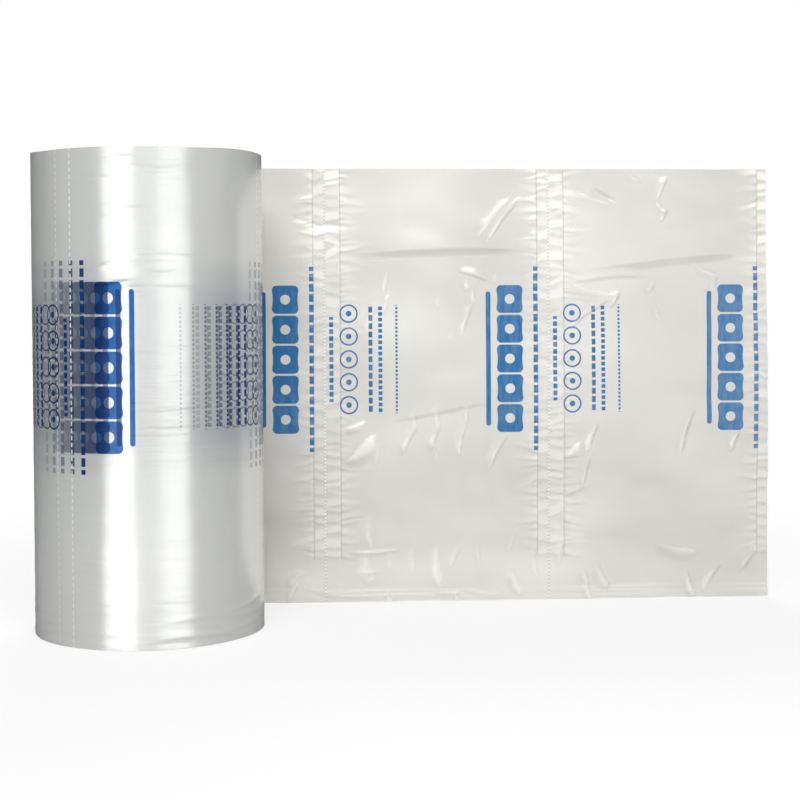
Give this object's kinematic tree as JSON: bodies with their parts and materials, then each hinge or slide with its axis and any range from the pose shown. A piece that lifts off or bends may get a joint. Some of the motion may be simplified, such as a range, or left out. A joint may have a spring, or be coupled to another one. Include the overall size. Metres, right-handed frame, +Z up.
{
  "type": "air pillow film roll",
  "caption": "Roll of flattened plastic tube film for making air pillows, wound on a paperboard core and standing on its end, with a length pulled out.",
  "frame": {"origin": "centre of the core's bore at the roll's lower end, on the surface that the roll stands on", "axes": "+Z up along the core, +X along the pulled length of film, which leaves the roll at its +Y side"},
  "size_m": [0.6604, 0.1942, 0.4],
  "materials": {
    "film": "silvery white translucent film",
    "core": "bare paperboard",
    "ink": "blue print"
  },
  "bodies": {
    "root": {"film_web": "film", "core": "core", "printed_marks": "ink"}
  },
  "joints": []
}
